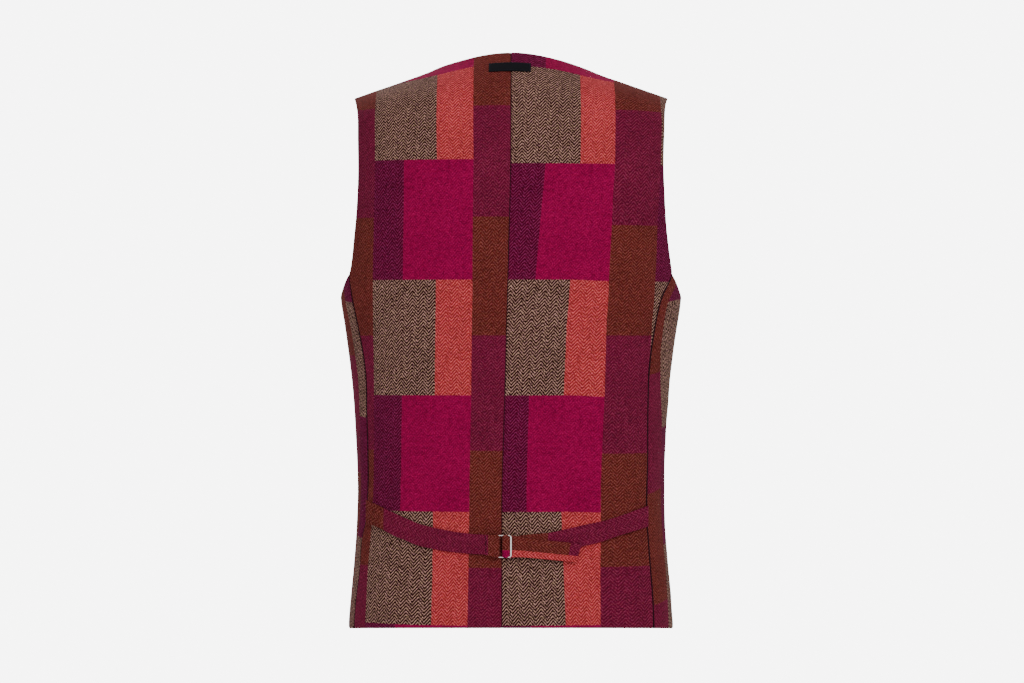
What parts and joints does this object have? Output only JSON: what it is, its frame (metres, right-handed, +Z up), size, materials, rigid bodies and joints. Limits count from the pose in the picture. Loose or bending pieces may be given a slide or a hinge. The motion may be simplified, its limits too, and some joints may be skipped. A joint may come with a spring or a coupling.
{
  "type": "suit waistcoat",
  "caption": "Tailored sleeveless waistcoat in its worn hollow form, V neck, buttoned front, checked herringbone cloth, belted back with a wire slide buckle.",
  "frame": {"origin": "midway between the two shoulders, level with the inner faces that rest on the wearer", "axes": "+Z up as worn, the wearer faces -Y, the wearer's left is +X"},
  "size_m": [0.3444, 0.2419, 0.5876],
  "materials": {
    "checked_wool": "brushed wool in a herringbone twill, with large blocks of tan, coral, magenta, purple, brown and wine",
    "label_cloth": "woven navy label, bare",
    "buckle_wire": "polished nickel wire",
    "button_horn": "dark brown horn-like resin, satin"
  },
  "bodies": {
    "root": {"back_left": "checked_wool", "back_right": "checked_wool", "front_left": "checked_wool", "front_right": "checked_wool", "belt_left": "checked_wool", "belt_right": "checked_wool", "buckle": "buckle_wire", "neck_label": "label_cloth", "button_1": "button_horn", "button_2": "button_horn", "button_3": "button_horn", "button_4": "button_horn", "button_5": "button_horn"}
  },
  "joints": []
}
